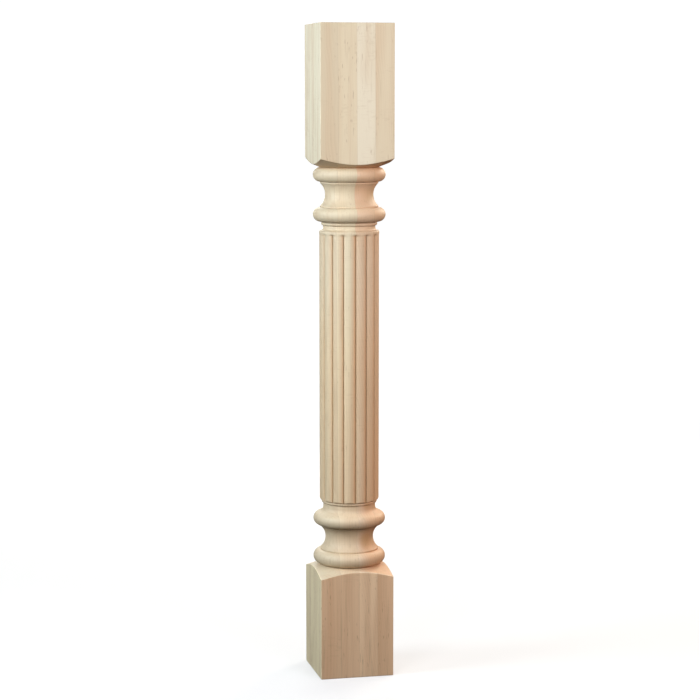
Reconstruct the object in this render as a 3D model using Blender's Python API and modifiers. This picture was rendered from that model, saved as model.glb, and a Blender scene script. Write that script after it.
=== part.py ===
"""Turned newel post with a reeded shaft between two square blocks.

The post is one piece of maple, turned from a square blank: the blank is crossed with
the turning, which leaves the square blocks with an arch on each face where the round
shoulders run out, and the reeds are then cut along the shaft. Metres, +Z up, front
face towards -Y, origin at the middle of the underside.
"""
import math

import bpy
import bmesh

# Square blank
post_height = 0.889
block_width = 0.1016
arris = 0.0007

# Square blocks, each measured along its corners
lower_block_height = 0.1386
upper_block_height = 0.1796
shoulder_slope = 0.39

# Rings and coves, the same in both sets
ring_diameter = 0.0990
ring_height = 0.0196
cove_diameter = 0.0658
cove_height = 0.0306
fillet_diameter = 0.0794
fillet_height = 0.0019

# Flare, neck and bead between the lower rings and the shaft
flared_ring_height = 0.0180
flare_angle = math.radians(65)
flare_radius = 0.0065
lower_neck_diameter = 0.0718
lower_neck_height = 0.0054
bead_diameter = 0.0760
bead_height = 0.0044

# Shaft with a rounded foot, a rounded plain collar and a hollow neck above it
shaft_diameter = 0.0820
foot_round = 0.0028
collar_height = 0.0040
collar_round = 0.0022
hollow_height = 0.0035
upper_neck_diameter = 0.0714
upper_neck_height = 0.0038

# Reeds
reed_count = 15
reed_inset = 0.0003
reed_depth = 0.0022
reed_run_out = 0.0020

# Facets
turning_steps = 56
ring_facets = 8
cove_facets = 6
flare_facets = 3
hollow_facets = 3
foot_facets = 3
collar_facets = 3
bead_facets = 5
reed_facets = 8

# Edges sharper than this stay crisp, and the rest are shaded smooth
crisp_angle = math.radians(40)

# Room that the cutting shapes keep beyond the wood
clearance = 0.006

maple_color = (0.76, 0.61, 0.43, 1.0)
maple_roughness = 0.6


def arc(centre_radius, centre_height, radius, start, end, facets):
    """Points (radius, height) along an arc of the profile, angles from straight out."""
    points = []
    for index in range(facets + 1):
        angle = start + (end - start) * index / facets
        points.append((centre_radius + radius * math.cos(angle),
                       centre_height + radius * math.sin(angle)))
    return points


def crease_turn(height):
    """Angle at which a half-round of this height meets the fillet beside it."""
    core = (ring_diameter - height) / 2
    return math.acos((fillet_diameter / 2 - core) / (height / 2))


def ring(low):
    """Half-round ring from the crease at its foot to the one on top, and its top."""
    bulge = ring_height / 2
    turn = crease_turn(ring_height)
    rise = bulge * math.sin(turn)
    points = arc(ring_diameter / 2 - bulge, low + rise, bulge, -turn, turn, ring_facets)
    return points, low + 2 * rise


def cove(low):
    """Hollow between two fillets, from the foot of the lower one, and its top."""
    lip = fillet_diameter / 2
    depth = lip - cove_diameter / 2
    radius = (cove_height ** 2 / 4 + depth ** 2) / (2 * depth)
    turn = math.asin(cove_height / 2 / radius)
    middle = low + fillet_height + cove_height / 2
    hollow = arc(cove_diameter / 2 + radius, middle, radius,
                 math.pi + turn, math.pi - turn, cove_facets)
    top = low + 2 * fillet_height + cove_height
    return hollow, top


def bead(low):
    """Small half-round bead that stands out to the bead diameter."""
    bulge = bead_height / 2
    return arc(bead_diameter / 2 - bulge, low + bulge, bulge,
               -math.pi / 2, math.pi / 2, bead_facets)


def flare(low):
    """Ring whose top sweeps up into the neck, and the height where the neck starts."""
    bulge = flared_ring_height / 2
    core = ring_diameter / 2 - bulge
    turn = crease_turn(flared_ring_height)
    middle = low + bulge * math.sin(turn)
    swell = arc(core, middle, bulge, -turn, flare_angle, ring_facets - 2)
    neck = lower_neck_diameter / 2
    swell_end = core + bulge * math.cos(flare_angle)
    sweep_start = neck + flare_radius * (1 - math.cos(flare_angle))
    slope_rise = (swell_end - sweep_start) / math.tan(flare_angle)
    sweep_middle = (middle + bulge * math.sin(flare_angle) + slope_rise
                    + flare_radius * math.sin(flare_angle))
    sweep = arc(neck + flare_radius, sweep_middle, flare_radius,
                math.pi + flare_angle, math.pi, flare_facets)
    return swell + sweep, sweep_middle


def turned_profile():
    """Profile from the underside to the top, and the heights that the reeds need."""
    outside = block_width / math.sqrt(2) + clearance
    corner = block_width / math.sqrt(2)
    seat = fillet_diameter / 2
    shoulder = (corner - seat) * shoulder_slope
    spread = (outside - corner) * shoulder_slope

    # Lower set, from the lower block up to the foot of the shaft
    lower_edge = lower_block_height
    points = [(0, -clearance), (outside, -clearance), (outside, lower_edge - spread)]
    lower_ring, level = ring(lower_edge + shoulder)
    points += lower_ring
    hollow, level = cove(level)
    points += hollow
    swelling, level = flare(level)
    points += swelling
    bead_low = level + lower_neck_height
    points.append((lower_neck_diameter / 2, bead_low))
    points += bead(bead_low)
    foot = bead_low + bead_height
    shaft = shaft_diameter / 2
    points += arc(shaft - foot_round, foot + foot_round, foot_round, -math.pi / 2, 0,
                  foot_facets)

    # Upper set, worked out from the upper block down to the head of the shaft
    upper_edge = post_height - upper_block_height
    top_ring_low = upper_edge - shoulder - ring(0)[1]
    upper_ring_low = top_ring_low - cove(0)[1] - ring(0)[1]
    upper_bead_low = upper_ring_low - bead_height
    hollow_high = upper_bead_low - upper_neck_height
    shaft_high = hollow_high - hollow_height

    collar_top = shaft - collar_round
    points += arc(collar_top, shaft_high - collar_round, collar_round, 0, math.pi / 2,
                  collar_facets)
    neck = upper_neck_diameter / 2
    depth = collar_top - neck
    sweep = (hollow_height ** 2 + depth ** 2) / (2 * depth)
    turn = math.asin(hollow_height / sweep)
    points += arc(neck + sweep, hollow_high, sweep, math.pi + turn, math.pi,
                  hollow_facets)[1:]
    points.append((neck, upper_bead_low))
    points += bead(upper_bead_low)
    points += ring(upper_ring_low)[0]
    points += cove(upper_ring_low + ring(0)[1])[0]
    points += ring(top_ring_low)[0]
    points += [(outside, upper_edge + spread), (outside, post_height + clearance),
               (0, post_height + clearance)]
    return points, foot, shaft_high - collar_height


def new_collection(name):
    collection = bpy.data.collections.new(name)
    bpy.context.scene.collection.children.link(collection)
    return collection


def new_object(name, mesh, collection):
    thing = bpy.data.objects.new(name, mesh)
    collection.objects.link(thing)
    return thing


def as_cutter(thing):
    thing.hide_render = True
    thing.display_type = 'WIRE'
    return thing


def square_blank(collection):
    """Square length of maple with its edges eased."""
    bpy.ops.mesh.primitive_cube_add(size=1, location=(0, 0, post_height / 2))
    blank = bpy.context.active_object
    blank.name = "newel_post"
    blank.scale = (block_width, block_width, post_height)
    bpy.ops.object.transform_apply(location=True, rotation=False, scale=True)
    for holder in list(blank.users_collection):
        holder.objects.unlink(blank)
    collection.objects.link(blank)
    eased = blank.modifiers.new("eased edges", 'BEVEL')
    eased.width = arris
    eased.segments = 1
    eased.limit_method = 'ANGLE'
    return blank


def turning(points, collection):
    """Solid of revolution that the lathe leaves, from its profile read top to bottom."""
    mesh = bpy.data.meshes.new("turning")
    vertices = [(radius, 0, height) for radius, height in reversed(points)]
    edges = [(index, index + 1) for index in range(len(vertices) - 1)]
    mesh.from_pydata(vertices, edges, [])
    solid = as_cutter(new_object("turning", mesh, collection))
    screw = solid.modifiers.new("turned", 'SCREW')
    screw.axis = 'Z'
    screw.steps = turning_steps
    screw.render_steps = turning_steps
    screw.use_merge_vertices = True
    screw.merge_threshold = 0.00001
    return solid


def reed_section(crest, root):
    """Points (x, y) round the shaft: convex reeds, with one groove facing the front."""
    half_angle = math.pi / reed_count
    groove_out = root * math.cos(half_angle)
    groove_side = root * math.sin(half_angle)
    rise = crest - groove_out
    radius = (rise ** 2 + groove_side ** 2) / (2 * rise)
    reach = math.atan2(groove_side, groove_out - (crest - radius))
    section = []
    for reed in range(reed_count):
        crest_angle = half_angle * (2 * reed + 1) - math.pi / 2
        for facet in range(reed_facets):
            angle = reach * (2 * facet / reed_facets - 1)
            out = crest - radius + radius * math.cos(angle)
            side = radius * math.sin(angle)
            section.append((out * math.cos(crest_angle) - side * math.sin(crest_angle),
                            out * math.sin(crest_angle) + side * math.cos(crest_angle)))
    return section


def reed_cutter(low, high, collection):
    """Sleeve round the shaft whose inside is the reeded shape, flared at its top."""
    crest = shaft_diameter / 2 - reed_inset
    root = shaft_diameter / 2 - reed_depth
    outside = shaft_diameter / 2 + clearance
    section = reed_section(crest, root)

    def loop(points, height):
        return [shape.verts.new((x, y, height)) for x, y in points]

    def circle(radius):
        return [(radius * x / math.hypot(x, y), radius * y / math.hypot(x, y))
                for x, y in section]

    shape = bmesh.new()
    loops = [loop(section, low), loop(section, high - reed_run_out),
             loop(circle(crest + 2 * reed_inset), high), loop(circle(outside), high),
             loop(circle(outside), low)]
    count = len(section)
    for inner, outer in zip(loops, loops[1:] + loops[:1]):
        for index in range(count):
            following = (index + 1) % count
            shape.faces.new((inner[index], outer[index], outer[following], inner[following]))
    bmesh.ops.recalc_face_normals(shape, faces=shape.faces)
    mesh = bpy.data.meshes.new("reed_cutter")
    shape.to_mesh(mesh)
    shape.free()
    return as_cutter(new_object("reed_cutter", mesh, collection))


def maple():
    material = bpy.data.materials.new("maple")
    material.use_nodes = True
    shader = material.node_tree.nodes["Principled BSDF"]
    shader.inputs["Base Color"].default_value = maple_color
    shader.inputs["Roughness"].default_value = maple_roughness
    shader.inputs["Metallic"].default_value = 0.0
    material.diffuse_color = maple_color
    return material


def shape_with(blank, name, operation, tool):
    cut = blank.modifiers.new(name, 'BOOLEAN')
    cut.operation = operation
    cut.solver = 'EXACT'
    cut.object = tool


def shade(post):
    """Keep the shape that the cuts leave, with its round stretches shaded smooth."""
    graph = bpy.context.evaluated_depsgraph_get()
    mesh = bpy.data.meshes.new_from_object(post.evaluated_get(graph))
    post.modifiers.clear()
    post.data = mesh
    mesh.shade_smooth()
    mesh.set_sharp_from_angle(angle=crisp_angle)


def main():
    for thing in list(bpy.data.objects):
        bpy.data.objects.remove(thing, do_unlink=True)
    parts = new_collection("newel post")
    cutters = new_collection("cutters")
    points, reed_low, reed_high = turned_profile()
    post = square_blank(parts)
    shape_with(post, "turned between the blocks", 'INTERSECT', turning(points, cutters))
    shape_with(post, "reeds", 'DIFFERENCE', reed_cutter(reed_low, reed_high, cutters))
    post.data.materials.append(maple())
    shade(post)


main()
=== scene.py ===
import math

import bpy
import numpy as np
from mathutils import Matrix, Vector


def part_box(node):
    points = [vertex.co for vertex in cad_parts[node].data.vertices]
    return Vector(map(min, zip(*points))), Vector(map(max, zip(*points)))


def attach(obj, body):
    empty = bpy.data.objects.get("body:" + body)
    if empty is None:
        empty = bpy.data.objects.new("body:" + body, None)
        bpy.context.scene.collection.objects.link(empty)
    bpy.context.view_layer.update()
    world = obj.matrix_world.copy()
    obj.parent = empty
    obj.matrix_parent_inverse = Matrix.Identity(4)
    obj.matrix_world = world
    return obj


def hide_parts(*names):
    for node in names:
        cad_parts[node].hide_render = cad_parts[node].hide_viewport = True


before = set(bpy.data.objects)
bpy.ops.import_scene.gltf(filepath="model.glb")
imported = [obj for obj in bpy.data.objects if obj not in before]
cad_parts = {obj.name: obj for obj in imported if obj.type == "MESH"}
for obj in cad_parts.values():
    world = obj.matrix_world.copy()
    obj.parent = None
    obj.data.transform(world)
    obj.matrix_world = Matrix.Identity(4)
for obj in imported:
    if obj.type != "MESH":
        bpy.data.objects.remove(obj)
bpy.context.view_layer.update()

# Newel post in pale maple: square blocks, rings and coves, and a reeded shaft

postLow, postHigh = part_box("newel_post")
print("frame loaded")

# Sizes of the post in metres. They are the solid's own, but for finer edges and cuts, the
# upper bead and its neck, and how the reeds are set in, cut and run out
post = {
    "height": postHigh.z - postLow.z,
    "width": postHigh.x - postLow.x,
    "easedEdge": 0.0008,         # rounding along the blank's edges
    "easedArch": 0.0005,         # rounding where a shoulder runs out on a face
    "easedCorner": 0.0003,       # sanding on the turned corners that stand proud
    "lowerBlock": 0.1386,        # blocks are measured along their corners
    "upperBlock": 0.1796,
    "shoulderSlope": 0.39,
    "ringDiameter": 0.0990,
    "ringHeight": 0.0196,
    "coveDiameter": 0.0658,
    "coveHeight": 0.0306,
    "filletDiameter": 0.0794,
    "filletHeight": 0.0019,
    "flaredRingHeight": 0.0180,
    "flareAngle": math.radians(65),
    "flareRadius": 0.0065,
    "lowerNeckDiameter": 0.0718,
    "lowerNeckHeight": 0.0054,
    "beadDiameter": 0.0760,
    "beadHeight": 0.0044,
    "shaftDiameter": 0.0820,
    "footRound": 0.0028,
    "collarHeight": 0.0040,
    "collarRound": 0.0022,
    "hollowHeight": 0.0035,
    "upperNeckDiameter": 0.0714,
    "upperNeckHeight": 0.0030,
    "upperBeadDiameter": 0.0766,
    "upperBeadHeight": 0.0052,
    "reeds": 15,
    "reedInset": 0.0001,
    "reedDepth": 0.0023,
    "reedRunOut": 0.0026,
    "quirkReach": 0.0006,        # narrow cuts where the turning goes in, under a ring
    "quirkDepth": 0.0012,
    "ledgeQuirk": 0.0003,        # the same on top of a ring
    "grooveReach": 0.0010,       # and between two reeds
    "grooveQuirk": 0.0012,
    "lead": 0.001,               # straight start of a stretch beside a crease

    # dust and painted shade in the upper and the lower creases, and the most that any place has
    "upperDustAndShade": 1.3,
    "lowerDustAndShade": 0.75,
    "mostDustAndShade": 1.05,
    # dust and painted shade in the grooves, and warm tone and painted shade beside them, by how
    # far right of the middle they lie
    "grooveDustAndShade": [(-0.037, 0.20), (-0.029, 0.40), (-0.016, 0.68), (0.0, 0.55), (0.016, 1.05)],
    "flankTone": [(-0.037, 0.35), (0.0, 1.0)],
    # strength and power of that warm tone and painted shade toward a reed's right side and its
    # left one
    "rightTone": (1.0, 1.6),
    "leftTone": (0.2, 2.5),

    # steps of the surface
    "ringSteps": 22,
    "coveSteps": 22,
    "smallSteps": 8,
    "bendPoints": 5,
    "shaftRows": 24,
    "reedColumns": 16,
    "crowding": 0.45,            # how much a reed's columns close up toward its grooves
    "cornerColumns": [-1.6, -1, -0.66, -0.33, 0, 0.33, 0.66, 1, 1.6],
    "endRows": [0.35, 0.7, 0.97],
    "easedRows": 7,
    "faceRows": [0.012, 0.25, 0.5, 0.75, 0.985],
    "archRows": 6,
    "shoulderRows": [0.05, 0.3, 0.6, 0.9],
    "innerEase": 0.1,            # corners of an end's inner rows, as share of the eased edge
    "cornerSine": 0.2,           # sine of the turn from which two paths meet in a corner
    "underRing": 0.3,            # how steeply the profile goes out over a deep cut
    "cleared": 1.2,              # room that a bend clears on the paths, times its reach
    "runOutLead": 1.3,           # where the even rows end below the collar, times the run-out
    "crispAngle": math.radians(28),
}


# Points (radius, height) along an arc: centre plus radius times cosine and sine
def arcPath(centreRadius, centreHeight, radius, start, end, steps):
    angle = np.linspace(start, end, steps + 1)
    return np.stack([centreRadius + radius * np.cos(angle),
                     centreHeight + radius * np.sin(angle)], 1)


# Straight stretch between two points of the profile
def straightPath(start, end, steps=1):
    share = np.linspace(0, 1, steps + 1)[:, None]
    return np.array(start) * (1 - share) + np.array(end) * share


# Half-round ring: half a turn of a circle as wide as the ring is high
def ringPath(low):
    bulge = post["ringHeight"] / 2
    return arcPath(post["ringDiameter"] / 2 - bulge, low + bulge, bulge,
                   -math.pi / 2, math.pi / 2, post["ringSteps"])


# Hollow between two fillets: the arc through both lips and the cove's waist
def covePaths(low):
    lip = post["filletDiameter"] / 2
    depth = lip - post["coveDiameter"] / 2
    halfHeight = post["coveHeight"] / 2
    radius = (halfHeight ** 2 + depth ** 2) / (2 * depth)
    turn = math.asin(halfHeight / radius)
    start = low + post["filletHeight"]
    end = start + post["coveHeight"]
    hollow = arcPath(lip - depth + radius, start + halfHeight, radius,
                     math.pi + turn, math.pi - turn, post["coveSteps"])
    return [straightPath((lip, low), (lip, start)), hollow,
            straightPath((lip, end), (lip, end + post["filletHeight"]))]


# Ring whose top sweeps up into the neck: a convex arc, a slope and a concave arc. Also
# the height where the neck starts
def flarePath(low):
    bulge = post["flaredRingHeight"] / 2
    core = post["ringDiameter"] / 2 - bulge
    angle = post["flareAngle"]
    radius = post["flareRadius"]
    neck = post["lowerNeckDiameter"] / 2
    swell = arcPath(core, low + bulge, bulge, -math.pi / 2, angle, post["ringSteps"])
    sweepStart = neck + radius * (1 - math.cos(angle))
    slopeRise = (swell[-1, 0] - sweepStart) / math.tan(angle)
    middle = swell[-1, 1] + slopeRise + radius * math.sin(angle)
    sweep = arcPath(neck + radius, middle, radius, math.pi + angle, math.pi,
                    post["smallSteps"])
    return np.vstack([swell, sweep]), middle


# Small bead: a half-round that stands out to the bead's diameter
def beadPath(low, height, diameter):
    bulge = height / 2
    return arcPath(diameter / 2 - bulge, low + bulge, bulge,
                   -math.pi / 2, math.pi / 2, post["smallSteps"])


# Joins paths end to end. A corner that stands proud is rounded by a parabola through
# it, (1-u)^2 A + 2u(1-u) B + u^2 C, and one that goes in gets a narrow V cut on along
# its middle line. Returns the profile's points, and each cut's bottom and strength
def joinPaths(paths):
    ease = post["easedCorner"]
    reach = post["quirkReach"]
    u = np.linspace(0, 1, post["bendPoints"])[:, None]
    joined = [paths[0]]
    cuts = []
    for before, after in zip(paths, paths[1:]):
        corner = after[0]
        arriving = (corner - before[-2]) / np.linalg.norm(corner - before[-2])
        leaving = (after[1] - corner) / np.linalg.norm(after[1] - corner)
        turn = arriving[0] * leaving[1] - arriving[1] * leaving[0]
        if abs(turn) < post["cornerSine"]:
            joined[-1] = joined[-1][:-1]
            joined.append(after)
            continue
        if turn > 0:
            gap = post["cleared"] * ease
            bend = ((1 - u) ** 2 * (corner - ease * arriving) + 2 * u * (1 - u) * corner
                    + u ** 2 * (corner + ease * leaving))
        else:
            gap = post["cleared"] * reach
            deep = leaving[0] > post["underRing"]
            depth = post["quirkDepth"] if deep else post["ledgeQuirk"]
            into = (arriving - leaving) / np.linalg.norm(arriving - leaving)
            bottom = corner + depth * into
            cuts.append((*bottom, depth / post["quirkDepth"]))
            bend = np.array([corner - reach * arriving, bottom, corner + reach * leaving])
        for path in (joined.pop(), bend, after):
            clear = np.linalg.norm(path - corner, axis=1) > gap
            joined.append(path if path is bend else path[clear])
    return np.vstack(joined), np.array(cuts)


# Radius of the square blank at each angle: half the width over the cosine from the
# face's middle, and the circle of the eased edge near a corner
def blankRadius(angle, half, ease):
    fromFace = np.abs((angle + math.pi / 4) % (math.pi / 2) - math.pi / 4)
    fromCorner = math.pi / 4 - fromFace
    centre = (half - ease) * math.sqrt(2)
    reach = np.maximum(ease ** 2 - (centre * np.sin(fromCorner)) ** 2, 0)
    rounded = centre * np.cos(fromCorner) + np.sqrt(reach)
    onEdge = fromFace > math.atan2(half - ease, half)
    return np.where(onEdge, rounded, half / np.cos(fromFace))


# Radius of the reeded section: from each reed's crest the arc of one circle, out to the
# grooves where it meets its neighbours, less a narrow V in the groove. Also how far in
# that V each angle is, from 0 to 1, and the warm tone and painted shade on the reed's flank:
# strength times a power of the share of the way from crest to groove
def reedRadius(angle):
    crest = post["shaftDiameter"] / 2 - post["reedInset"]
    root = post["shaftDiameter"] / 2 - post["reedDepth"]
    halfPitch = math.pi / post["reeds"]
    grooveOut = root * math.cos(halfPitch)
    grooveSide = root * math.sin(halfPitch)
    rise = crest - grooveOut
    radius = (rise ** 2 + grooveSide ** 2) / (2 * rise)
    centre = crest - radius
    fromCrest = (angle + math.pi / 2) % (2 * halfPitch) - halfPitch
    reach = np.sqrt(radius ** 2 - (centre * np.sin(fromCrest)) ** 2)
    arc = centre * np.cos(fromCrest) + reach
    near = np.clip(1 - (halfPitch - np.abs(fromCrest)) * root / post["grooveReach"], 0, 1)
    aside = fromCrest / halfPitch
    tone = sum(strength * np.maximum(share, 0) ** power for share, (strength, power)
               in ((aside, post["rightTone"]), (-aside, post["leftTone"])))
    return arc - post["grooveQuirk"] * near, near, tone


# Angles of the columns: steps within each reed that close up toward its grooves, and
# close ones round each corner of the blank
def columnAngles():
    share = np.linspace(0, 1, post["reedColumns"], endpoint=False)
    crowded = 0.5 - 0.5 * np.cos(math.pi * share)
    share = (1 - post["crowding"]) * share + post["crowding"] * crowded
    pitch = 2 * math.pi / post["reeds"]
    even = (np.arange(post["reeds"])[:, None] + share).ravel() * pitch
    even = (even + math.pi / 2) % (2 * math.pi) - math.pi
    half = post["width"] / 2
    reach = math.pi / 4 - math.atan2(half - post["easedEdge"], half)
    offsets = reach * np.array(post["cornerColumns"])
    corners = math.pi / 4 + math.pi / 2 * np.arange(-1, 3)
    close = (corners[:, None] + offsets + math.pi).ravel() % (2 * math.pi) - math.pi
    return np.unique(np.round(np.concatenate([even, close]), 9))


# The turned profile between the shoulders as separate stretches, and the heights where
# the reeds start and end
def turnedPaths():
    corner = post["width"] / math.sqrt(2)
    seat = post["filletDiameter"] / 2
    shoulder = (corner - seat) * post["shoulderSlope"]
    shaft = post["shaftDiameter"] / 2
    ring = post["ringHeight"]
    coveRun = post["coveHeight"] + 2 * post["filletHeight"]

    seatLow = post["lowerBlock"] + shoulder
    flare, neckLow = flarePath(seatLow + ring + coveRun)
    beadLow = neckLow + post["lowerNeckHeight"]
    foot = beadLow + post["beadHeight"]
    neck = post["lowerNeckDiameter"] / 2
    lead = post["lead"] * np.array([1, -post["shoulderSlope"]])    # last of the shoulder
    lowerSet = [straightPath(np.array((seat, seatLow)) + lead, (seat, seatLow)),
                ringPath(seatLow)] + covePaths(seatLow + ring) + [flare]
    lowerSet += [straightPath((neck, neckLow), (neck, beadLow)),
                 beadPath(beadLow, post["beadHeight"], post["beadDiameter"])]

    seatHigh = post["height"] - post["upperBlock"] - shoulder
    topRing = seatHigh - ring
    upperRing = topRing - coveRun - ring
    upperBead = upperRing - post["upperBeadHeight"]
    hollowHigh = upperBead - post["upperNeckHeight"]
    shaftHigh = hollowHigh - post["hollowHeight"]
    collarTop = shaft - post["collarRound"]
    neck = post["upperNeckDiameter"] / 2
    depth = collarTop - neck
    sweep = (post["hollowHeight"] ** 2 + depth ** 2) / (2 * depth)
    turn = math.asin(post["hollowHeight"] / sweep)
    upperSet = [arcPath(neck + sweep, hollowHigh, sweep, math.pi + turn, math.pi,
                        post["smallSteps"]),
                straightPath((neck, hollowHigh), (neck, upperBead)),
                beadPath(upperBead, post["upperBeadHeight"], post["upperBeadDiameter"]),
                ringPath(upperRing)] + covePaths(upperRing + ring)
    upperSet += [ringPath(topRing),
                 straightPath((seat, seatHigh), (seat, seatHigh) + lead * (1, -1))]

    reedHigh = shaftHigh - post["collarHeight"]
    shaftPath = np.vstack([
        arcPath(shaft - post["footRound"], foot + post["footRound"], post["footRound"],
                -math.pi / 2, 0, post["smallSteps"]),
        straightPath((shaft, foot + post["footRound"] + post["lead"]),
                     (shaft, reedHigh - post["runOutLead"] * post["reedRunOut"]),
                     post["shaftRows"]),
        straightPath((shaft, reedHigh - post["reedRunOut"]), (shaft, reedHigh),
                     post["smallSteps"]),
        arcPath(collarTop, shaftHigh - post["collarRound"], post["collarRound"], 0,
                math.pi / 2, post["smallSteps"])])
    return lowerSet, shaftPath, upperSet, foot, reedHigh


# Rows of one block, from its end to its shoulder's seat. The flank goes up to the cone
# through its corner, the edge between them is a parabola, and the cone runs in to the
# seat. Heights are measured from the block's end
def blockRows(angles, cornerHeight):
    half = post["width"] / 2
    ease = post["easedEdge"]
    corner = post["width"] / math.sqrt(2)
    seat = post["filletDiameter"] / 2
    slope = post["shoulderSlope"]
    side = blankRadius(angles, half, ease)
    edgeHeight = cornerHeight + (corner - side) * slope
    radii = []
    heights = []
    inner = ease * post["innerEase"]
    for share in post["endRows"]:
        radii.append(share * blankRadius(angles, half - ease, inner))
        heights.append(np.zeros_like(angles))
    for turn in np.linspace(0, math.pi / 2, post["easedRows"]):
        inset = ease * (1 - math.sin(turn))
        radii.append(blankRadius(angles, half - inset, max(ease - inset, inner)))
        heights.append(np.full_like(angles, ease * (1 - math.cos(turn))))
    for share in post["faceRows"]:
        radii.append(side)
        heights.append(ease + share * (edgeHeight - post["easedArch"] - ease))
    run = post["easedArch"] / math.hypot(1, slope)
    for u in np.linspace(0, 1, post["archRows"]):
        radii.append(side - u ** 2 * run)
        rise = -(1 - u) ** 2 * post["easedArch"] + u ** 2 * run * slope
        heights.append(edgeHeight + rise)
    for share in post["shoulderRows"]:
        radius = (side - run) * (1 - share) + seat * share
        radii.append(radius)
        heights.append(cornerHeight + (corner - radius) * slope)
    return np.array(radii), np.array(heights)


# The whole post as a grid of radius and height over rows and angles
def postGrid():
    angles = columnAngles()
    lowRadii, lowHeights = blockRows(angles, post["lowerBlock"])
    highRadii, highHeights = blockRows(angles, post["upperBlock"])
    lowerSet, shaftPath, upperSet, foot, reedHigh = turnedPaths()
    middle, cuts = joinPaths(lowerSet + [shaftPath] + upperSet)
    radii = np.repeat(middle[:, :1], len(angles), 1)
    heights = np.repeat(middle[:, 1:], len(angles), 1)

    # The reeds are cut into the shaft, and run out to the collar at their tops
    crest = post["shaftDiameter"] / 2 + post["reedInset"]
    lift = np.clip((heights - reedHigh + post["reedRunOut"]) / post["reedRunOut"], 0, 1)
    reed, nearGroove, onFlank = reedRadius(angles)
    cut = reed * (1 - lift) + crest * lift
    onShaft = (heights >= foot) & (heights <= reedHigh)
    reeded = onShaft & (radii > post["beadDiameter"] / 2)
    radii = np.where(reeded, np.minimum(radii, cut), radii)

    # How dark each point is painted, partly for dust and partly as painted shade in the cuts:
    # strength times exp(-(distance from a cut / reach)^2), and on the reeds how far the point
    # lies into a groove's V times that groove's dust and painted shade
    gap = np.linalg.norm(middle[:, None] - cuts[:, :2], axis=2)
    isUpper = cuts[:, 1] > post["height"] / 2
    strength = cuts[:, 2] * np.where(isUpper, post["upperDustAndShade"], post["lowerDustAndShade"])
    crease = (strength * np.exp(-(gap / post["quirkReach"]) ** 2)).max(1)[:, None]
    right = radii * np.cos(angles)
    # the grooves' dust and painted shade, less toward the left where the light falls
    grooveDarkening = np.interp(right, *zip(*post["grooveDustAndShade"]))
    crease = np.maximum(crease, np.where(reeded, (1 - lift) * nearGroove * grooveDarkening, 0))
    crease = np.minimum(crease, post["mostDustAndShade"])
    # warm tone and painted shade down the reeds' right flanks, stronger toward the right of the
    # post
    toned = np.interp(right, *zip(*post["flankTone"]))
    flank = np.where(reeded, (1 - lift) * onFlank * toned, 0)

    radii = np.vstack([lowRadii, radii, highRadii[::-1]])
    heights = np.vstack([lowHeights, heights, post["height"] - highHeights[::-1]])
    flat = np.zeros_like(lowRadii)
    crease = np.vstack([flat, crease, flat])
    flank = np.vstack([flat, flank, flat])

    # Wood is turned from the middle of the arches' edges on
    turned = np.ones_like(radii)
    flatRows = len(lowRadii) - len(post["shoulderRows"]) - post["archRows"] // 2
    turned[:flatRows] = 0
    turned[-flatRows:] = 0
    return angles, radii, heights, {"turned": turned, "crease": crease, "flank": flank}


# A closed mesh from the grid: quads between rows, and a fan at each end's middle
def postMesh():
    angles, radii, heights, masks = postGrid()
    rows, columns = radii.shape
    points = np.stack([radii * np.cos(angles), radii * np.sin(angles), heights], 2)
    points = points.reshape(-1, 3)
    ends = np.array([[0, 0, 0], [0, 0, post["height"]]])
    points = np.vstack([points, ends])
    index = np.arange(rows * columns).reshape(rows, columns)
    onward = np.roll(index, -1, 1)
    quads = np.stack([index[:-1], onward[:-1], onward[1:], index[1:]], 2).reshape(-1, 4)
    bottom = np.full(columns, rows * columns)
    lowFan = np.stack([bottom, onward[0], index[0]], 1)
    highFan = np.stack([bottom + 1, index[-1], onward[-1]], 1)
    mesh = bpy.data.meshes.new("newelPost")
    faces = quads.tolist() + lowFan.tolist() + highFan.tolist()
    mesh.from_pydata(points.tolist(), [], faces)
    for name, values in masks.items():
        mask = mesh.attributes.new(name, 'FLOAT', 'POINT')
        mask.data.foreach_set("value", np.append(values, [0, 0]).astype(np.float32))
    mesh.shade_smooth()
    mesh.set_sharp_from_angle(angle=post["crispAngle"])
    mesh.update()
    return mesh


newelPost = bpy.data.objects.new("newelPost", postMesh())
bpy.context.scene.collection.objects.link(newelPost)
print("post surface:", len(newelPost.data.vertices), "points,",
      sum(len(face.vertices) - 2 for face in newelPost.data.polygons), "triangles")


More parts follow.
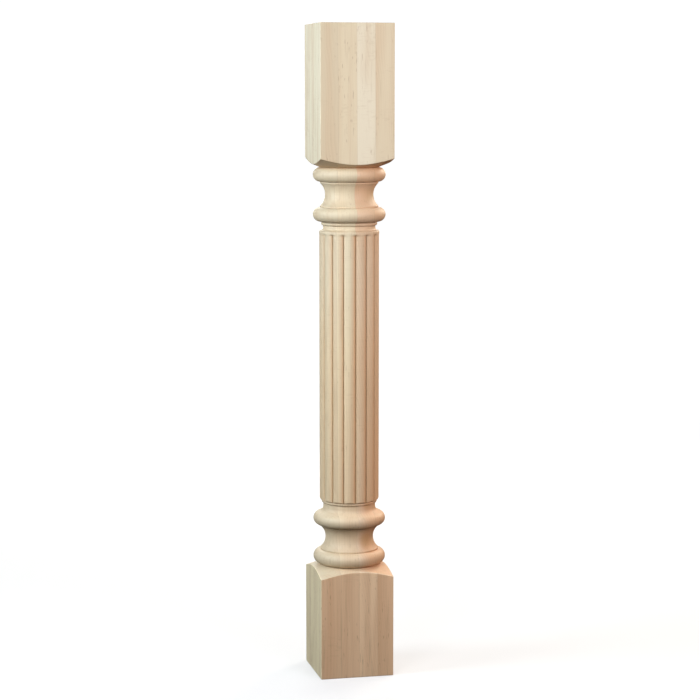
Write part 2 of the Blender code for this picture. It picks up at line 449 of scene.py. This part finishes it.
# A socket of a shader node. Sums and products of wires add their own Math nodes
class Wire:
    def __init__(self, tree, socket=None):
        self.tree = tree
        self.socket = socket

    # Any node: its settings first, then the values or wires of its sockets
    def node(self, kind, settings={}, sockets={}, outlet=0):
        made = self.tree.nodes.new(kind)
        for name, value in settings.items():
            if name == "ramp":
                fillRamp(made.color_ramp, *value)
            else:
                setattr(made, name, value)
        for name, value in sockets.items():
            if isinstance(value, Wire):
                self.tree.links.new(value.socket, made.inputs[name])
            else:
                made.inputs[name].default_value = value
        return Wire(self.tree, made.outputs[outlet])

    def math(self, operation, *values):
        return self.node("ShaderNodeMath", {"operation": operation}, dict(enumerate(values)))

    # A Math node with this wire as its first value
    def then(self, operation, *others):
        return self.math(operation, self, *others)

    def __add__(self, other):
        return self.math('ADD', self, other)

    def __radd__(self, other):
        return self.math('ADD', other, self)

    def __sub__(self, other):
        return self.math('SUBTRACT', self, other)

    def __rsub__(self, other):
        return self.math('SUBTRACT', other, self)

    def __mul__(self, other):
        return self.math('MULTIPLY', self, other)

    def __rmul__(self, other):
        return self.math('MULTIPLY', other, self)

    def __truediv__(self, other):
        return self.math('DIVIDE', self, other)

    def __rtruediv__(self, other):
        return self.math('DIVIDE', other, self)

    def __pow__(self, other):
        return self.math('POWER', self, other)

    def __rpow__(self, other):
        return self.math('POWER', other, self)

    # A Vector Math node with this wire as its first value
    def vector(self, operation, *others, outlet=0):
        return self.node("ShaderNodeVectorMath", {"operation": operation},
                         dict(enumerate((self, *others))), outlet)

    # From 0 to 1 as the value goes from start to full, either way, with soft ends
    def rise(self, start, full):
        return self.node("ShaderNodeMapRange", {"interpolation_type": 'SMOOTHSTEP'},
                         {"Value": self, "From Min": start, "From Max": full})

    # This colour with a share of another one over it
    def toward(self, other, share):
        return self.node("ShaderNodeMix", {"data_type": 'RGBA'}, {0: share, 6: self, 7: other}, 2)

    # Noise of the given detail at a place that is already scaled
    def noise(self, detail, roughness):
        return self.node("ShaderNodeTexNoise", {},
                         {"Vector": self, "Scale": 1.0, "Detail": detail, "Roughness": roughness})


# Stops of a ramp, as position and colour, the two it starts with used first
def fillRamp(ramp, interpolation, stops):
    ramp.interpolation = interpolation
    while len(ramp.elements) < len(stops):
        ramp.elements.new(1.0)
    for element, (position, color) in zip(ramp.elements, stops):
        element.position = position
        element.color = (*color, 1.0)


# Colours are linear. Boards are listed from the left side of the post to the right, and
# places are in metres unless a note says otherwise
maple = {
    "boardWidth": 0.0254,
    "seamShift": 0.0035,         # how far right of even the seams stand at the foot
    "seamLean": 0.0047,          # and how far they come back to the left by the top
    "seamEdge": (0.490, 0.499),  # from the middle of a board, in board widths
    "seamReach": (1.6, 1.4),     # from the middle of the post, in board widths
    "boardShift": 7.31,          # how far apart the boards are cut from the noise
    "shiftWays": (1, 3, 5),      # the same along each axis

    "boards": [(0.650, 0.548, 0.400), (0.705, 0.603, 0.443),
               (0.750, 0.675, 0.540), (0.685, 0.580, 0.425)],
    "sapwood": (0.750, 0.675, 0.525),    # outer face of the left-hand board
    "heart": (0.720, 0.422, 0.250),
    # how much heartwood shows, by share of the height
    "heartShow": [(0.0, 0.4), (0.20, 0.9), (0.45, 0.5), (0.64, 0.35), (0.75, 0.75), (1.0, 0.5)],
    "foot": [(0.840, 0.536, 0.338), (0.840, 0.536, 0.338),    # front of the lower block
             (0.980, 0.615, 0.360), (0.860, 0.536, 0.334)],
    "footShow": [0.72, 0.68, 0.56, 0.76],
    "footSide": (0.865, 0.745, 0.515),   # and its left face
    "shaft": (0.870, 0.600, 0.300),      # lower half of the reeds
    "cove": (0.360, 0.300, 0.120),       # painted shade on the right-hand side of the coves
    "tan": (0.600, 0.455, 0.300),        # soft bands up the boards
    # brown of the stains, and of the painted shade under the upper block
    "blush": (0.520, 0.280, 0.110),
    # stains: middle, reach each way, and strength
    "blushes": [((0.0155, -0.032, 0.187), (0.014, 0.03, 0.018), 0.50),
                ((0.0175, -0.0315, 0.236), (0.010, 0.02, 0.009), 0.40)],
    "blushEdge": (1.0, 0.1),             # in shares of that reach
    "flank": (0.720, 0.360, 0.160),      # warm tone and painted shade down the right sides of the reeds
    "line": (0.400, 0.275, 0.160),
    "fleck": (0.330, 0.200, 0.110),
    "seam": (0.360, 0.240, 0.140),
    "dust": (0.210, 0.120, 0.055),       # dust and painted shade in the narrow cuts

    # cycles per metre across and along the post, place in the noise, detail, roughness
    "noises": {
        "bands": (62, 3, 0, 2.5, 0.5),
        "blotches": (26, 9, 2, 2.0, 0.5),
        "streaks": (240, 12, 4, 3.0, 0.6),
        "fibres": (800, 34, 6, 2.0, 0.6),
        "dashes": (640, 85, 8, 1.0, 0.5),
        "dashPatches": (60, 14, 1, 1.0, 0.5),
        "curls": (110, 400, 3, 1.0, 0.5),
        "curlPatches": (30, 25, 5, 1.0, 0.5),
        "wander": (16, 6, 7, 3.0, 0.5),
        "lathe": (5, 1500, 0, 2.0, 0.5),
    },
    # values of the noise where each mark starts to show and where it is full
    "shows": {
        "bands": (0.40, 0.72),
        "blotches": (0.45, 0.75),
        "streaks": (0.5, 0.8),
        "fibres": (0.5, 0.9),
        "dashes": (0.66, 0.75),
        "dashPatches": (0.43, 0.58),
        "curls": (0.5, 0.75),
        "curlPatches": (0.5, 0.65),
        "lathe": (0.55, 0.75),
        "linePatches": (0.35, 0.60),
        "streakPatches": (0.40, 0.60),
        "endStreaks": (0.4, 0.7),
    },

    # year rings: their spacing, how far to the side each board's heart lies and how much
    # farther forward from board to board, how far the rings wander, how they lean by board
    # and about which height, and the shares of a year where its line darkens and ends
    "ringSpacing": 0.0034,
    "heartAway": 0.13,
    "heartStep": 0.02,
    "wander": 0.022,
    "lean": [0.03, 0.0, 0.17, 0.05],
    "leanHeight": 0.45,
    "lineStart": (0.2, 0.9),
    "lineEnd": (1.0, 0.9),

    # where each zone starts and where it is full: first across the post
    "leftFace": (-0.0499, -0.0505),
    "reedsRight": (0.0, 0.03),
    "reedsLeft": (0.01, -0.03),
    "coveRight": (0.005, 0.028),
    "front": (0.02, -0.03),
    "belowSkin": (0.0504, 0.0490),       # under the front and back faces
    "coveWaist": (0.038, 0.033),         # from the axis
    # up the post
    "lowerBlock": (0.25, 0.15),
    "heartLow": (0.5, 0.2),
    "heartHigh": (0.30, 0.45),
    "shaftFoot": (0.235, 0.245),
    "shaftHead": (0.606, 0.600),
    "shaftLow": (0.58, 0.42),
    # in shares of its height
    # painted shade on the turned wood under the upper block
    "underBlock": (0.780, 0.785),
    "topEnd": (0.9990, 0.9997),
    "footEnd": (0.0010, 0.0003),
    # and in board widths from the left
    "heartEdgeHigh": (1.98, 2.02),
    "heartEdgeLow": (1.8, 2.75),
    "heartTurned": (0.4, 1.6),

    # how much of its colour each layer lays on; a pair is for flat and for turned wood
    "shares": {
        "shaft": 0.20,
        "reedHeart": 0.20,
        "cove": 0.25,
        "lowHeart": 0.28,
        "bands": (0.36, 0.21),
        "warmBands": 0.08,
        "footBands": 0.40,
        "blotches": 0.22,
        "underBlock": 0.35,
        "lines": 0.11,
        "streaks": (0.50, 0.30),
        "footStreaks": 0.10,
        "reedStreaks": 0.20,
        "fibres": (0.10, 0.06),
        "curls": 0.14,
        "dashes": (0.55, 0.30),
        "seam": 0.40,
        "lathe": (0.0, 0.14),
        "flank": 0.62,
        "crease": 0.93,
        "end": 0.10,
        "endLines": 0.32,
        "endStreaks": 0.12,
    },

    "roughness": 0.445,
    "roughening": {"streaks": 0.15, "lines": 0.05, "crease": 0.2},
    # relief: grain and lathe lines stand up, seams and flecks lie lower
    "relief": {"fibres": 0.4, "streaks": 0.3, "lathe": 0.4, "seam": -0.6, "dashes": -0.4},
    "reliefStrength": 0.35,
    "reliefDepth": 0.0002,
}


# Noise stretched along the post: the place times cycles per metre across and along, moved
# to its own part of the noise
def grainNoise(axes, kind, shift):
    across, along, apart, detail, roughness = maple["noises"][kind]
    cycles = (across, across, along)
    shift = shift + apart
    scaled = {number: axis * cycles[number] + shift * maple["shiftWays"][number]
              for number, axis in enumerate(axes)}
    return axes[0].node("ShaderNodeCombineXYZ", {}, scaled).noise(detail, roughness)


# A ramp over a wire, of numbers or of colours
def rampOver(wire, interpolation, stops):
    stops = [(position, value if isinstance(value, tuple) else (value, value, value))
             for position, value in stops]
    return wire.node("ShaderNodeValToRGB", {"ramp": (interpolation, stops)}, {0: wire})


# One of the numbers or colours of a list, by board
def byBoard(board, values):
    count = len(values)
    stops = [(number / count, value) for number, value in enumerate(values)]
    return rampOver((board + 0.5) / count, 'CONSTANT', stops)


# The place across the post in board widths, which board that is, 0 to 3 from the left,
# how far across it, and the glue line beside it
def boardsAcross(x, share):
    count = len(maple["boards"])
    leftShift = maple["seamLean"] * share - maple["seamShift"]
    across = (x + leftShift) / maple["boardWidth"] + count / 2
    board = across.then('FLOOR').then('MAXIMUM', 0).then('MINIMUM', count - 1)
    within = across - board
    inner = (across - count / 2).then('ABSOLUTE').rise(*maple["seamReach"])
    seam = (within - 0.5).then('ABSOLUTE').rise(*maple["seamEdge"]) * inner
    return across, board, within, seam


# Year rings: circles about a heart well outside each board, at sqrt(x^2 + y^2) plus noise
# from it, leaning so that they run out on the faces. Each darkens slowly and ends sharply
def yearLines(y, z, board, within, wander):
    side = board.then('PINGPONG', 1) * (2 * maple["heartAway"]) - maple["heartAway"]
    lean = (z - maple["leanHeight"]) * byBoard(board, maple["lean"])
    awayX = (within - 0.5) * maple["boardWidth"] + side + lean
    awayY = y + board * maple["heartStep"] - maple["heartStep"]
    bend = (wander - 0.5) * maple["wander"]
    fromHeart = (awayX * awayX + awayY * awayY) ** 0.5 + bend
    season = (fromHeart / maple["ringSpacing"]).then('FRACT')
    return season.rise(*maple["lineStart"]) * season.rise(*maple["lineEnd"])


def mapleMaterial():
    material = bpy.data.materials.new("unfinishedMaple")
    material.use_nodes = True
    tree = material.node_tree
    shader = tree.nodes["Principled BSDF"]
    start = Wire(tree)
    place = start.node("ShaderNodeTexCoord", outlet="Object")
    axes = [start.node("ShaderNodeSeparateXYZ", {}, {0: place}, name) for name in "XYZ"]
    x, y, z = axes
    height = z / post["height"]
    turned, crease, flank = [
        start.node("ShaderNodeAttribute", {"attribute_name": name}, outlet="Fac")
        for name in ("turned", "crease", "flank")]

    # Grain runs up the post, and each board has its own stretch of it. The lathe's lines
    # go round all of them
    across, board, within, seam = boardsAcross(x, height)
    shift = board * maple["boardShift"]
    noises = {kind: grainNoise(axes, kind, 0 if kind == "lathe" else shift)
              for kind in maple["noises"]}
    lines = yearLines(y, z, board, within, noises["wander"])

    # Where a mark shows, by its own noise or by another one
    def show(mark, kind=None):
        return noises[kind or mark].rise(*maple["shows"][mark])

    # How much of a layer is laid on: the flat share less turned times the difference
    def amount(layer):
        share = maple["shares"][layer]
        return share if isinstance(share, float) else share[0] - turned * (share[0] - share[1])

    dashes = show("dashes") * show("dashPatches")
    curls = show("curls") * show("curlPatches")

    # Zones of the post
    skin = x.rise(*maple["leftFace"])
    atBlock = z.rise(*maple["lowerBlock"])
    atFoot = atBlock * (1 - turned) * y.rise(*maple["front"]) * (1 - skin)
    onShaft = z.rise(*maple["shaftFoot"]) * z.rise(*maple["shaftHead"]) * turned
    fromAxis = (x * x + y * y) ** 0.5
    # where painted shade lies: the right-hand side of the coves, inside their waist
    shadedCove = fromAxis.rise(*maple["coveWaist"]) * x.rise(*maple["coveRight"]) * turned
    atEnd = height.rise(*maple["topEnd"]) + height.rise(*maple["footEnd"])

    # Heartwood: inside the right-hand boards, with a sharp edge high up and a soft one
    # lower down
    upper = z.rise(*maple["heartHigh"])
    edge = (across.rise(*maple["heartEdgeHigh"]) * upper
            + across.rise(*maple["heartEdgeLow"]) * (1 - upper))
    inside = y.then('ABSOLUTE').rise(*maple["belowSkin"]) * edge
    inside = inside * rampOver(height, 'LINEAR', maple["heartShow"])
    lowHeart = z.rise(*maple["heartLow"]) * across.rise(*maple["heartTurned"]) * turned

    streakShow = show("streakPatches", "blotches") * amount("streaks")
    streakShow = streakShow + atFoot * amount("footStreaks")
    streakShow = streakShow + onShaft * x.rise(*maple["reedsLeft"]) * amount("reedStreaks")
    endShow = lines * amount("endLines") + show("endStreaks", "streaks") * amount("endStreaks")

    # Layers of colour: tones of whole zones, painted shade, and the figure from soft to sharp
    layers = [
        ("sapwood", skin),
        ("heart", inside),
        ("foot", atFoot * byBoard(board, maple["footShow"])),
        ("footSide", skin * atBlock),
        ("shaft", onShaft * z.rise(*maple["shaftLow"]) * amount("shaft")),
        ("heart", onShaft * x.rise(*maple["reedsRight"]) * amount("reedHeart")),
        # painted shade on the right-hand side of the coves
        ("cove", shadedCove * amount("cove")),
        ("heart", lowHeart * amount("lowHeart")),
        ("tan", show("bands") * amount("bands")),
        ("heart", show("bands") * (atFoot * amount("footBands") + amount("warmBands"))),
        ("tan", show("blotches") * amount("blotches")),
        # painted shade on the turned wood under the upper block
        ("blush", height.rise(*maple["underBlock"]) * turned * amount("underBlock")),
    ]
    for middle, reach, strength in maple["blushes"]:
        away = place.vector('SUBTRACT', middle).vector('DIVIDE', reach)
        away = away.vector('LENGTH', outlet="Value")
        layers.append(("blush", away.rise(*maple["blushEdge"]) * strength))
    layers += [
        ("line", lines * show("linePatches", "bands") * amount("lines")),
        ("line", show("streaks") * streakShow),
        ("line", show("fibres") * amount("fibres")),
        ("line", curls * amount("curls")),
        ("fleck", dashes * amount("dashes")),
        ("seam", seam * amount("seam")),
        ("line", show("lathe") * amount("lathe")),
        # warm tone and painted shade on the reeds' flanks
        ("flank", flank * amount("flank")),
        # dust and painted shade in the narrow cuts and the grooves
        ("dust", crease * amount("crease")),
        ("line", atEnd * (endShow + amount("end"))),
    ]
    color = byBoard(board, maple["boards"])
    for name, share in layers:
        over = maple[name]
        over = byBoard(board, over) if isinstance(over, list) else (*over, 1)
        color = color.toward(over, share)
    tree.links.new(color.socket, shader.inputs["Base Color"])

    # Roughness and relief are sums of the same marks
    marks = {"streaks": noises["streaks"], "fibres": noises["fibres"], "lines": lines,
             "lathe": noises["lathe"] * turned, "seam": seam, "dashes": dashes,
             "crease": crease}
    rough = maple["roughness"] + sum(marks[name] * part
                                     for name, part in maple["roughening"].items())
    tree.links.new(rough.socket, shader.inputs["Roughness"])
    relief = sum(marks[name] * part for name, part in maple["relief"].items())
    bump = start.node("ShaderNodeBump", {}, {"Height": relief, "Distance": maple["reliefDepth"],
                                             "Strength": maple["reliefStrength"]})
    tree.links.new(bump.socket, shader.inputs["Normal"])
    return material


newelPost.data.materials.append(mapleMaterial())
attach(newelPost, "root")
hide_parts("newel_post")
print("maple finished")

studio = {
    "floorRadius": 5.0,
    "sweepRadius": 1.5,
    "wallStart": 0.1,            # above the sweep
    "wallHeight": 3.5,
    "middleRadius": 0.02,        # of the one face in the middle of the floor
    "floorSteps": 4,
    "sweepSteps": 16,
    "wallSteps": 2,
    "segments": 96,
    "paper": (0.40, 0.40, 0.42, 1),
    "paperRoughness": 0.9,
    # the paper's own light by distance from the post, as share of the floor's radius
    "glow": [(0.08, (0.47, 0.47, 0.47)), (0.55, (1.0, 1.0, 1.0))],
    "skyColor": (0.016, 0.012, 0.007, 1),
    "lampAim": (0, 0, 0.5),
    # name: place, size across, and power in red, green and blue
    "lights": {
        "frontLight": ((-0.85, -1.15, 0.88), 0.5, (5.2, 5.4, 5.0)),
        "closeLight": ((-0.6, -0.9, 0.9), 0.4, (1.4, 1.4, 1.3)),
        "highLight": ((-0.9, -1.1, 1.5), 0.6, (1.7, 1.8, 1.9)),
        "leftLight": ((-1.6, -0.2, 1.1), 0.8, (11.8, 12.9, 13.4)),
        "leftFill": ((-1.0, -0.15, 0.82), 0.4, (4.3, 4.7, 5.0)),
        "topLight": ((0, -0.2, 2.2), 1.0, (9.3, 10.6, 10.9)),
        "rightFront": ((0.5, -1.1, 0.9), 0.5, (7.8, 7.4, 7.4)),
        "rightLight": ((1.6, -0.6, 0.9), 1.0, (6.6, 4.3, 2.9)),
        "rightBack": ((1.2, 0.9, 1.2), 0.8, (18.7, 16.9, 13.8)),
        "backLight": ((0.15, 1.7, 1.1), 0.8, (15.0, 15.0, 14.0)),
    },
}


# Floor and wall in one sweep round the post: a flat disc, a quarter circle and a wall
def studioSweep():
    outer = studio["floorRadius"]
    bend = studio["sweepRadius"]
    profile = np.vstack([
        straightPath((studio["middleRadius"], 0), (outer - bend, 0), studio["floorSteps"]),
        arcPath(outer - bend, bend, bend, -math.pi / 2, 0, studio["sweepSteps"])[1:],
        straightPath((outer, bend + studio["wallStart"]), (outer, studio["wallHeight"]),
                     studio["wallSteps"])])
    angles = np.linspace(0, 2 * math.pi, studio["segments"], endpoint=False)
    radii, heights = profile[:, :1], np.repeat(profile[:, 1:], len(angles), 1)
    points = np.stack([radii * np.cos(angles), radii * np.sin(angles), heights], 2)
    points = points.reshape(-1, 3)
    index = np.arange(len(points)).reshape(len(profile), len(angles))
    onward = np.roll(index, -1, 1)
    quads = np.stack([index[:-1], index[1:], onward[1:], onward[:-1]], 2).reshape(-1, 4)
    mesh = bpy.data.meshes.new("studioSweep")
    mesh.from_pydata(points.tolist(), [], quads.tolist() + [index[0].tolist()])
    mesh.shade_smooth()
    material = bpy.data.materials.new("studioPaper")
    material.use_nodes = True
    shader = material.node_tree.nodes["Principled BSDF"]
    shader.inputs["Base Color"].default_value = studio["paper"]
    shader.inputs["Roughness"].default_value = studio["paperRoughness"]
    shader.inputs["Emission Strength"].default_value = 1.0
    place = Wire(material.node_tree).node("ShaderNodeTexCoord", outlet="Object")
    away = place.vector('LENGTH', outlet="Value")
    glow = rampOver(away / outer, 'EASE', studio["glow"])
    material.node_tree.links.new(glow.socket, shader.inputs["Emission Color"])
    mesh.materials.append(material)
    sweep = bpy.data.objects.new("studioSweep", mesh)
    bpy.context.scene.collection.objects.link(sweep)
    sweep.visible_diffuse = False    # the paper throws no light back up at the post
    sweep.visible_glossy = False


# A square lamp turned to the middle of the post. Its power is the strongest of the three
# colours' powers, and its colour their shares of it
def softLight(name, place, size, power):
    light = bpy.data.lights.new(name, 'AREA')
    light.size = size
    light.energy = max(power)
    light.color = [share / max(power) for share in power]
    lamp = bpy.data.objects.new(name, light)
    lamp.location = place
    aim = Vector(studio["lampAim"]) - Vector(place)
    lamp.rotation_euler = aim.to_track_quat('-Z', 'Y').to_euler()
    bpy.context.scene.collection.objects.link(lamp)


def studioLights():
    world = bpy.data.worlds.new("studioSky")
    world.use_nodes = True
    sky = world.node_tree.nodes["Background"]
    sky.inputs["Color"].default_value = studio["skyColor"]
    bpy.context.scene.world = world
    for name, (place, size, power) in studio["lights"].items():
        softLight(name, place, size, power)


studioSweep()
studioLights()
print("studio lit")

view = {
    "distance": 2.8285,              # from the post's axis, level
    "turn": math.radians(12.834),    # how far the camera stands to the left of square on
    "tilt": math.radians(7.022),     # how far it looks down
    "height": 0.7953,                # above the floor
    "aside": 0.0011,                 # off the line through the axis
    "lens": 106.96,
    "sensor": 36,
}


# The camera stands a distance back from the post, turned round it and tilted down
def photoCamera():
    camera = bpy.data.cameras.new("photoView")
    camera.lens = view["lens"]
    camera.sensor_width = view["sensor"]
    turn, tilt = view["turn"], view["tilt"]
    holder = bpy.data.objects.new("photoView", camera)
    holder.location = (view["aside"] * math.cos(turn) - view["distance"] * math.sin(turn),
                       -view["aside"] * math.sin(turn) - view["distance"] * math.cos(turn),
                       view["height"])
    ahead = Vector((math.sin(turn) * math.cos(tilt), math.cos(turn) * math.cos(tilt),
                    -math.sin(tilt)))
    holder.rotation_euler = ahead.to_track_quat('-Z', 'Y').to_euler()
    bpy.context.scene.collection.objects.link(holder)
    bpy.context.scene.camera = holder


photoCamera()
bpy.context.scene.view_settings.view_transform = 'Standard'
print("camera set")
